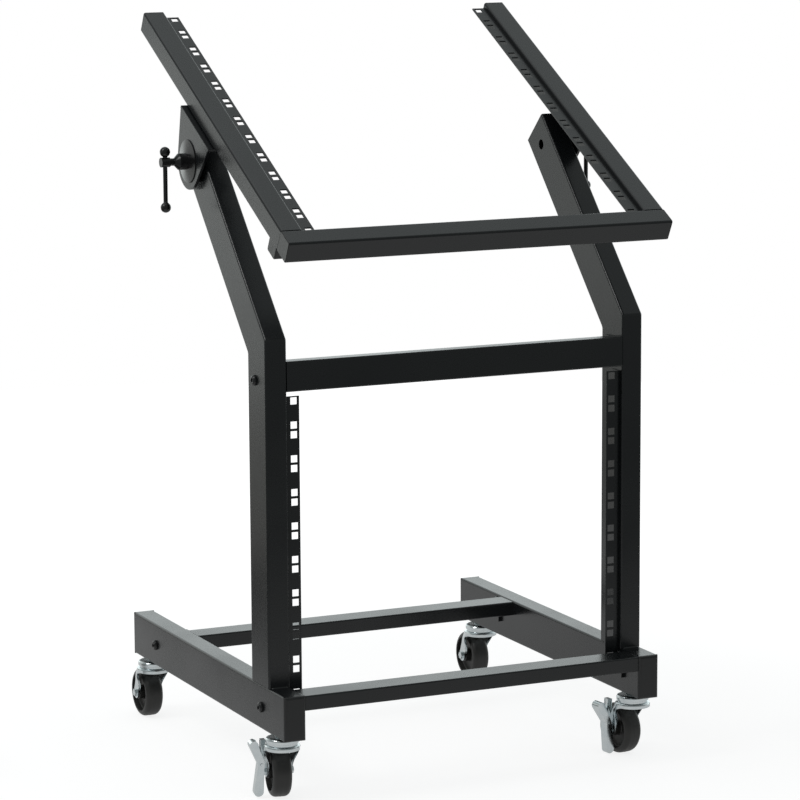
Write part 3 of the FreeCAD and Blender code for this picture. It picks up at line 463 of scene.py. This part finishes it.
def turned(profile, steps, closed=False, unit=MM):
    """Spin a profile of (along, radius) pairs about X."""
    bm = bmesh.new()
    chain = [bm.verts.new((along * unit, 0, radius * unit)) for along, radius in profile]
    edges = [bm.edges.new(pair) for pair in zip(chain, chain[1:])]
    if closed:
        edges.append(bm.edges.new((chain[-1], chain[0])))
    bmesh.ops.spin(bm, geom=chain + edges, cent=(0, 0, 0), axis=(1, 0, 0), angle=math.tau, steps=steps,
                   use_merge=True)
    bmesh.ops.remove_doubles(bm, verts=bm.verts, dist=1e-6)
    return bm


def placed(bm, place):
    """Move a piece that was made along X to its place, and turn its faces outwards."""
    bmesh.ops.transform(bm, verts=bm.verts, matrix=place)
    bmesh.ops.recalc_face_normals(bm, faces=bm.faces)
    return bm


def button_bolt(length):
    """A bolt along X with its head's seat at 0, by the length of its shank in millimetres."""
    shank = [(-length, 0), (-length, 3.3), (-length + 0.7, 4), (0, 4)]
    arc = [math.radians(a) for a in range(0, 91, 15)]
    dome = [(1.2 + 3.2 * math.sin(a), 3.9 + 3.1 * math.cos(a)) for a in arc]
    bm = turned([*shank, (0, 6.8), (0.2, 7), *dome, (4.25, 3.3)], 24)
    crown = [edge for edge in bm.edges if edge.is_boundary]
    facing = Matrix.Translation((4.1 * MM, 0, 0)) @ Matrix.Rotation(math.pi / 2, 4, "Y")
    bmesh.ops.create_circle(bm, segments=6, radius=SOCKET_RADIUS * MM, matrix=facing)
    bmesh.ops.subdivide_edges(bm, edges=[edge for edge in bm.edges if edge.is_wire], cuts=3)
    socket = [edge for edge in bm.edges if edge.is_wire]
    bmesh.ops.bridge_loops(bm, edges=crown + socket)
    sunk = bmesh.ops.extrude_edge_only(bm, edges=socket)["geom"]
    bmesh.ops.translate(bm, verts=verts_of(sunk), vec=(-SOCKET_DEPTH * MM, 0, 0))
    bottom = bmesh.ops.contextual_create(bm, geom=edges_of(sunk))["faces"]
    bmesh.ops.poke(bm, faces=bottom, offset=-DRILL_POINT * MM)
    return bm


for name, side in SIDES.items():
    for at in ("front", "rear", "upright"):
        low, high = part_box(f"bolt_{name}_{at}")
        seat = (high.x if side > 0 else low.x) - BOLT_HEAD * MM * side
        place = (Matrix.Translation((seat, (low.y + high.y) / 2, (low.z + high.z) / 2))
                 @ Matrix.Rotation(0 if side > 0 else math.pi, 4, "Z"))
        bolt = placed(button_bolt((high.x - low.x) / MM - BOLT_HEAD), place)
        put(f"bolt_{name}_{at}_turned", bolt, bolt_black, "base", "bolt_black", f"bolt_{name}_{at}")

# Uprights: rectangular steel tube bent back once, standing on the rails and welded to them all round.
# They are sanded and coated together with the rails.
for name in SIDES:
    dress(f"upright_{name}", frame_coat, "frame_black", TUBE_EDGE)

# Rack strips: sheet steel angles with punched square holes, coated with the frame. They are welded along the
# uprights and, sunk a little below the top face, along the top rails.
SHEET_EDGE = 0.25 * MM
for name in SIDES:
    dress(f"lower_strip_{name}", frame_coat, "strip_black", SHEET_EDGE)
    dress(f"top_strip_{name}", frame_coat, "strip_black", SHEET_EDGE)

# Top frame: square tube rails butted against the front bar, with a smaller stop tube across beneath them.
# The joints are welded and sanded flush before coating, so the rails' edges stay whole where they meet it.
TILT = math.radians(27.8)
BAR_BACK = -293
joints = {joint["name"]: joint for joint in frame["joints"]}
pivot = Vector(joints["top_tilt"]["pos_m"])


def on_slope(x, back, up):
    """A point given in millimetres behind and above the tilt pivot, along and across the top frame."""
    return Vector((x * MM, pivot.y + (back * math.cos(TILT) - up * math.sin(TILT)) * MM,
                   pivot.z + (back * math.sin(TILT) + up * math.cos(TILT)) * MM))


def at_front_bar(point):
    """Whether a point is within 3 mm of the front bar's back."""
    offset = point - pivot
    return (offset.y * math.cos(TILT) + offset.z * math.sin(TILT)) / MM < BAR_BACK + 3


for name in SIDES:
    dress(f"top_rail_{name}", frame_coat, "frame_black", TUBE_EDGE, whole=at_front_bar)
for name in ("front_bar", "stop_tube"):
    dress(name, frame_coat, "frame_black", TUBE_EDGE)

# Pivot brackets: bent plates welded under the top rails, round about the pivot.
# A disc of pressed friction lining lies between each plate and its upright.
PLATE_EDGE, DISC_EDGE = 0.6 * MM, 0.3 * MM
lining = coating("friction_lining", dark=(0.012, 0.0115, 0.011), light=(0.024, 0.023, 0.021),
                 worn=(0.05, 0.048, 0.045), gloss=(0.62, 0.78), peel_scale=1500.0, bump=0.6)
for name in SIDES:
    dress(f"pivot_bracket_{name}", frame_coat, "frame_black", PLATE_EDGE, 3)
    dress(f"friction_disc_{name}", lining, "disc_black", DISC_EDGE)

# Clamp screws: turned steel with a dished flange, a shoulder and a cross-drilled boss, in a glossier black.
# The tommy bar slides through the boss until one of its balls stops it.
SCREW_EDGE = 0.5 * MM
BALL = 7
clamp_black = coating("clamp_black_enamel", dark=(0.0060, 0.0060, 0.0062), light=(0.0090, 0.0090, 0.0093),
                      worn=(0.024, 0.024, 0.025), gloss=(0.20, 0.30), peel_scale=500.0, bump=0.15, amount=0.3)
arc = [math.radians(a) for a in range(0, 150, 10)]
bar_end = [*((BALL * math.cos(a), BALL * math.sin(a)) for a in arc), (-6.2, 3.4), (-6.7, 3.08), (-7.1, 3)]
for name in SIDES:
    dress(f"clamp_screw_{name}", clamp_black, "clamp_black", SCREW_EDGE, 3)
    low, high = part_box(f"tommy_bar_{name}")
    reach = (high.z - low.z) / MM - 2 * BALL
    place = (Matrix.Translation(((low.x + high.x) / 2, (low.y + high.y) / 2, high.z - BALL * MM))
             @ Matrix.Rotation(-math.pi / 2, 4, "Y"))
    far_end = [(-reach - along, radius) for along, radius in reversed(bar_end)]
    bar = placed(turned(bar_end + far_end, 40), place)
    put(f"tommy_bar_{name}_turned", bar, clamp_black, f"tommy_{name}", "clamp_black", f"tommy_bar_{name}")

# Caster metalwork: pressed from sheet steel and zinc plated. The stem with its hexagon and upper race is
# fixed in the rail. The fork swivels under it and carries the wheel's axle bolt, and on the front pair the
# post of a brake.
plate_drift, given, result = effect(
    "plating_drift",
    (("Scale", "Float", 60.0), ("Stretch", "Vector", (1.0, 1.0, 0.2))),
    (("Tone", "Float"), ("Streak", "Float")))
link = plate_drift.links.new
where = add(plate_drift, "ShaderNodeTexCoord")
stretched = add(plate_drift, "ShaderNodeMapping")
cloud = add(plate_drift, "ShaderNodeTexNoise", in_Detail=3.0, in_Roughness=0.55)
streak = add(plate_drift, "ShaderNodeTexNoise", in_Scale=900.0, in_Detail=2.0, in_Roughness=0.6)
link(where.outputs["Object"], cloud.inputs["Vector"])
link(given.outputs["Scale"], cloud.inputs["Scale"])
link(where.outputs["Object"], stretched.inputs["Vector"])
link(given.outputs["Stretch"], stretched.inputs["Scale"])
link(stretched.outputs["Vector"], streak.inputs["Vector"])
link(cloud.outputs["Fac"], result.inputs["Tone"])
link(streak.outputs["Fac"], result.inputs["Streak"])

zinc = bpy.data.materials.new("bright_zinc_plate")
tree = node_tree(zinc)
link = tree.links.new
out = add(tree, "ShaderNodeOutputMaterial")
skin = add(tree, "ShaderNodeBsdfPrincipled", in_Metallic=1.0)
drift = add(tree, "ShaderNodeGroup", node_tree=plate_drift)
wear = add(tree, "ShaderNodeGroup", node_tree=wear_group, in_Patch_Scale=160.0, in_Amount=0.5)
tone = colour_mix(tree, first=(0.55, 0.62, 0.655), second=(0.79, 0.81, 0.80))
rubbed = colour_mix(tree, second=(0.86, 0.86, 0.85))
polish = add(tree, "ShaderNodeMapRange", in_From_Min=0.3, in_From_Max=0.7, in_To_Min=0.12, in_To_Max=0.22)
relief = add(tree, "ShaderNodeBump", in_Strength=0.05, in_Distance=0.0001)
link(drift.outputs["Tone"], tone.inputs[FACTOR])
link(wear.outputs["Mask"], rubbed.inputs[FACTOR])
link(tone.outputs[COLOUR_OUT], rubbed.inputs[COLOUR_A])
link(rubbed.outputs[COLOUR_OUT], skin.inputs["Base Color"])
link(drift.outputs["Streak"], polish.inputs["Value"])
link(polish.outputs["Result"], skin.inputs["Roughness"])
link(drift.outputs["Streak"], relief.inputs["Height"])
link(relief.outputs["Normal"], skin.inputs["Normal"])
link(skin.outputs[0], out.inputs["Surface"])

# Fork sizes in millimetres, from the swivel axis outwards and backwards and from the rail's underside down.
LEG_OUT, CROWN, SHOULDER, SKIRT_LOW = 17.3, 24, 15.5, 19.5
TRAIL, AXLE_LOW, EYE = 28, 56, 8.5
LEG_FRONT, LEG_REAR = math.radians(-27.3), math.radians(52)
SHEET, SHEET_DROP, SKIRT_ROWS = 2.5, 0.6, 16
FLATTENS_AT, FLATTENS_OVER = 23, 24
NUT_RADIUS, HEX_CHAMFER = 5.5, 0.5
POST_SIZE, POST_RIM, POST_SINK = (6.3, 10, 38), 1.7, 0.6
PIN_RADIUS, PIN_LENGTH = 2, 18
STEM_EDGE, PRESSED_EDGE = 0.35 * MM, 0.4 * MM
arc = [math.radians(a) for a in range(0, 91, 6)]
arch = [(-11 + 28 * math.sin(a), 40 - 20.5 * math.cos(a)) for a in arc]
arc = [math.radians(a) for a in range(180, 388, 9)]
eye = [(TRAIL + EYE * math.cos(a), AXLE_LOW - EYE * math.sin(a)) for a in arc]
leg_outline = [*arch, *eye, (CROWN * math.sin(LEG_REAR), SKIRT_LOW)]
leg_runs = [math.dist(a, b) for a, b in zip(leg_outline, leg_outline[1:])]


def on_outline(share):
    """A point of the leg's outline seen from the side, by its share of the way round: (behind, below)."""
    way = share * sum(leg_runs)
    for run, start, end in zip(leg_runs, leg_outline, leg_outline[1:]):
        if way <= run:
            break
        way -= run
    part = min(way / run, 1)
    return start[0] + (end[0] - start[0]) * part, start[1] + (end[1] - start[1]) * part


def drawn(angle, share, wall):
    """Where the press draws a point of the skirt: to the skirt's rim, or down a leg to the leg's outline.
    The inner skin lies a wall's thickness inside the outer one."""
    x, y = (CROWN - wall) * math.cos(angle), (CROWN - wall) * math.sin(angle)
    top = SHOULDER + SHEET_DROP * wall
    edge_y, edge_low = y, SKIRT_LOW
    if LEG_FRONT < angle < LEG_REAR:
        edge_y, edge_low = on_outline((angle - LEG_FRONT) / (LEG_REAR - LEG_FRONT))
    low = top + (edge_low - top) * share
    flat = min(max((low - FLATTENS_AT) / FLATTENS_OVER, 0), 1)
    flat = flat * flat * (3 - 2 * flat)
    return x + (LEG_OUT - wall - x) * flat, y + (edge_y - y) * share, low


def pressed_fork():
    """The fork in one sheet about its swivel axis: race, groove, shoulder, skirt and two legs drawn down."""
    race = [(10.3, 5.6), (10.3, 20.3), (12.8, 20.3), (13.2, 22.2), (14.2, 23.5)]
    outer = [(SHOULDER + i, CROWN) for i in range(SKIRT_ROWS + 1)]
    inner = [(SHOULDER + SHEET_DROP * SHEET + i, CROWN - SHEET) for i in range(SKIRT_ROWS, -1, -1)]
    roof = [(SHOULDER + 0.9, 20.8), (SHOULDER + 0.9, 5.6)]
    bm = turned(race + outer + inner + roof, 180, closed=True, unit=1)
    bmesh.ops.rotate(bm, verts=bm.verts, cent=(0, 0, 0), matrix=Matrix.Rotation(math.pi / 2, 3, "Y"))
    for vert in bm.verts:
        inset = CROWN - math.hypot(vert.co.x, vert.co.y)
        if abs(inset) < 0.01 or abs(inset - SHEET) < 0.01 and -vert.co.z > SHOULDER:
            wall = SHEET if inset > 1 else 0
            share = (-vert.co.z - SHOULDER - SHEET_DROP * wall) / SKIRT_ROWS
            x, y, low = drawn(math.atan2(vert.co.y, abs(vert.co.x)), share, wall)
            vert.co = math.copysign(x, vert.co.x), y, -low
    bmesh.ops.scale(bm, verts=bm.verts, vec=(MM, MM, MM))
    bmesh.ops.recalc_face_normals(bm, faces=bm.faces)
    return bm


def brake_post(bm):
    """The brake's post on the left leg, with a shallow panel in its outer face, and the pin through it."""
    post, pin = Vector((-20.95, TRAIL, -31.5)) * MM, Vector((-23.5, TRAIL, -45.5)) * MM
    bmesh.ops.create_cube(bm, size=1, matrix=Matrix.Translation(post)
                          @ Matrix.Diagonal((*(side * MM for side in POST_SIZE), 1)))
    bm.faces.ensure_lookup_table()
    panel = [face for face in bm.faces[-6:] if face.normal.x < -0.5]
    bmesh.ops.inset_region(bm, faces=panel, thickness=POST_RIM * MM)
    bmesh.ops.inset_region(bm, faces=panel, thickness=POST_SINK * MM, depth=-POST_SINK * MM)
    bmesh.ops.create_cone(bm, cap_ends=True, segments=24, radius1=PIN_RADIUS * MM, radius2=PIN_RADIUS * MM,
                          depth=PIN_LENGTH * MM,
                          matrix=Matrix.Translation(pin) @ Matrix.Rotation(math.pi / 2, 4, "X"))


def hexagon(bm, near, far):
    """A bolt's hexagon along X with its outer corners chamfered."""
    facing = Matrix.Translation((near * MM, 0, 0)) @ Matrix.Rotation(math.pi / 2, 4, "Y")
    ring = bmesh.ops.create_circle(bm, cap_ends=True, segments=6, radius=NUT_RADIUS * MM, matrix=facing)
    moved = verts_of(bmesh.ops.extrude_face_region(bm, geom=ring["verts"][0].link_faces[:])["geom"])
    bmesh.ops.translate(bm, verts=moved, vec=((far - near) * MM, 0, 0))
    rim = [edge for edge in bm.edges if edge.verts[0] in moved and edge.verts[1] in moved]
    rounded(bm, rim, HEX_CHAMFER * MM, 2)


def turn_to(axis):
    """The turn that brings X onto an axis."""
    return Vector((1, 0, 0)).rotation_difference(Vector(axis)).to_matrix().to_4x4()


axle_end = LEG_OUT + 3.4
axle_profile = [(-LEG_OUT - 1, 0), (-LEG_OUT - 1, 4), (axle_end - 0.5, 4), (axle_end, 3.4), (axle_end, 0)]
wheel_places = {}
for at in [f"{name}_{end}" for end in ("front", "rear") for name in SIDES]:
    dress(f"caster_stem_{at}", zinc, "zinc", STEM_EDGE)
    spin = joints[f"wheel_spin_{at}"]
    swivel = Matrix.Translation(joints[f"caster_swivel_{at}"]["pos_m"]) @ turn_to(spin["axis"])
    wheel_places[at] = Matrix.Translation(spin["pos_m"]) @ turn_to(spin["axis"])
    fork = pressed_fork()
    if "front" in at:
        brake_post(fork)
    broken(fork, PRESSED_EDGE)
    bmesh.ops.transform(fork, verts=fork.verts, matrix=swivel)
    put(f"caster_fork_{at}_pressed", fork, zinc, f"swivel_{at}", "zinc", f"caster_fork_{at}")
    axle = turned(axle_profile, 24)
    hexagon(axle, -LEG_OUT, -LEG_OUT - 3.4)
    hexagon(axle, LEG_OUT, LEG_OUT + 2.7)
    placed(axle, wheel_places[at])
    put(f"caster_axle_{at}_bolt", axle, zinc, f"swivel_{at}", "zinc", f"caster_axle_{at}")

# Wheels: one moulding in brown-black rubber with dust in its grain, a rounded tread on a webbed core with a
# hub. A thin flash line runs round the middle of the tread and a groove round each side.
tyre = coating("wheel_rubber", dark=(0.018, 0.0172, 0.0165), light=(0.033, 0.0313, 0.029),
               worn=(0.05, 0.047, 0.042), gloss=(0.34, 0.5), peel_scale=800.0, bump=0.4, patch_scale=60.0)
hub = [(14.7, 4.05), (14.7, 9), (14.2, 9.5), (6, 9.8)]
web = [(5, 10.8), (5, 24.4), (6.2, 25.9)]
groove = [(12.2, 26.4), (12.9, 26.7), (12.4, 27)]
arc = [math.radians(a) for a in range(0, 91, 10)]
shoulder = [(5.5 + 7.5 * math.cos(a), 27.3 + 7.5 * math.sin(a)) for a in arc]
half_wheel = [*hub, *web, *groove, *shoulder, (0.5, 34.85), (0.2, 35)]
wheel_profile = half_wheel + [(-along, radius) for along, radius in reversed(half_wheel)]
for at, place in wheel_places.items():
    wheel = placed(turned(wheel_profile, 96, closed=True), place)
    put(f"caster_wheel_{at}_moulded", wheel, tyre, f"wheel_{at}", "wheel_black", f"caster_wheel_{at}")

# Brake levers: pressed channels, zinc plated, that rock on the fork's pin with a pedal above and one below.
# The upper pedal straddles the fork's post, the lower one narrows behind, and their flanges are bent round.
FLANGE_OUT, PEDAL_FROM, LEVER_BEND = 7.9 * MM, 11 * MM, 1.8 * MM
for name in SIDES:
    lever = merged(f"brake_lever_{name}")
    pin, to_back = (Vector(joints[f"brake_rock_{name}"][key]) for key in ("pos_m", "axis"))
    outside = {vert for vert in lever.verts if abs((vert.co - pin).dot(to_back)) > FLANGE_OUT}
    upper = [vert for vert in lever.verts if vert.co.z > pin.z + PEDAL_FROM]
    lower = [vert for vert in lever.verts if vert.co.z < pin.z - PEDAL_FROM]
    for pedal, longer, narrower in ((upper, -5, 0.4), (lower, 1.2, 5.5)):
        reach = sum((vert.co for vert in pedal), Vector()) / len(pedal) - pin
        reach -= reach.project(to_back)
        bmesh.ops.translate(lever, verts=pedal, vec=reach.normalized() * longer * MM)
        rear = [vert for vert in pedal if (vert.co - pin).dot(to_back) > 0]
        bmesh.ops.translate(lever, verts=rear, vec=-to_back * narrower * MM)
    bends = [edge for edge in lever.edges if outside.issuperset(edge.verts) and is_sharp(edge)]
    rounded(lever, bends, LEVER_BEND, 5)
    broken(lever, PRESSED_EDGE)
    put(f"brake_lever_{name}_pressed", lever, zinc, f"brake_{name}", "zinc", f"brake_lever_{name}")

# Welds: short runs of filler with its ripples left, where sanding does not reach, coated with the frame. They
# lie before and behind the upright feet, in the top frame's inner corners, beside the stop tube and the
# bracket flanges, and along the strips.
UPRIGHT_DEPTH, FOOT_MARGIN = 60 * MM, 4 * MM
RAIL_INSIDE, RAIL_UNDERSIDE, STRIP_UNDERSIDE = 245, 53.5, 57.5
CORNER_LOW, CORNER_HIGH = 56, 81
CREST, TROUGH, RUN_END = 1.0, 0.84, 0.4
FOOT_BEAD, FRAME_BEAD, STRIP_BEAD = 2.2 * MM, 2 * MM, 1.6 * MM
STRIP_RUN, BRACKET_RUN = 16, 24
rail_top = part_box("rail_left")[1].z


def weld(name, start, end, radius, body):
    """A bead from start to end, drawn ring by ring between its crests and troughs."""
    bm = bmesh.new()
    run = Vector(end) - Vector(start)
    facing = Matrix.Translation(start) @ run.to_track_quat("Z", "Y").to_matrix().to_4x4()
    bmesh.ops.create_circle(bm, segments=10, radius=radius * RUN_END, matrix=facing)
    edges = bm.edges[:]
    steps = 2 * max(3, round(run.length / radius))
    middle, size = Vector(start), RUN_END
    for i in range(1, steps + 1):
        grown = bmesh.ops.extrude_edge_only(bm, edges=edges)["geom"]
        ring = verts_of(grown)
        edges = edges_of(grown)
        bmesh.ops.translate(bm, verts=ring, vec=run / steps)
        middle = middle + run / steps
        wanted = RUN_END if i == steps else (CREST, TROUGH)[i % 2]
        bmesh.ops.scale(bm, vec=(wanted / size,) * 3, space=Matrix.Translation(-middle), verts=ring)
        size = wanted
    bmesh.ops.holes_fill(bm, edges=[edge for edge in bm.edges if edge.is_boundary])
    bmesh.ops.recalc_face_normals(bm, faces=bm.faces)
    put(name, bm, frame_coat, body, "frame_black")


def frame_weld(name, start, end, radius):
    """A bead on the top frame, between two points that are given along its slope."""
    weld(name, on_slope(*start), on_slope(*end), radius, "top_frame")


for name, side in SIDES.items():
    low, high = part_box(f"upright_{name}")
    for at, y in (("front", low.y), ("rear", low.y + UPRIGHT_DEPTH)):
        ends = (low.x + FOOT_MARGIN, y, rail_top), (high.x - FOOT_MARGIN, y, rail_top)
        weld(f"weld_foot_{name}_{at}", *ends, FOOT_BEAD, "base")
    inside = RAIL_INSIDE * side
    ends = (inside, BAR_BACK, CORNER_LOW), (inside, BAR_BACK, CORNER_HIGH)
    frame_weld(f"weld_corner_{name}", *ends, FOOT_BEAD)
    for at, back in (("front", -279), ("rear", -254)):
        ends = (248 * side, back, RAIL_UNDERSIDE), (267 * side, back, RAIL_UNDERSIDE)
        frame_weld(f"weld_stop_{name}_{at}", *ends, FRAME_BEAD)
    for at, back in (("front", -42), ("rear", 18)):
        ends = (250 * side, back, RAIL_UNDERSIDE), (250 * side, back + BRACKET_RUN, RAIL_UNDERSIDE)
        frame_weld(f"weld_bracket_{name}_{at}", *ends, FRAME_BEAD)
    low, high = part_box(f"lower_strip_{name}")
    x = high.x if side > 0 else low.x
    for i in range(4):
        z = low.z + (40 + 105 * i) * MM
        ends = (x, high.y, z), (x, high.y, z + STRIP_RUN * MM)
        weld(f"weld_lower_strip_{name}_{i}", *ends, STRIP_BEAD, "base")
        back = -270 + 155 * i
        ends = (inside, back, STRIP_UNDERSIDE), (inside, back + STRIP_RUN, STRIP_UNDERSIDE)
        frame_weld(f"weld_top_strip_{name}_{i}", *ends, STRIP_BEAD)
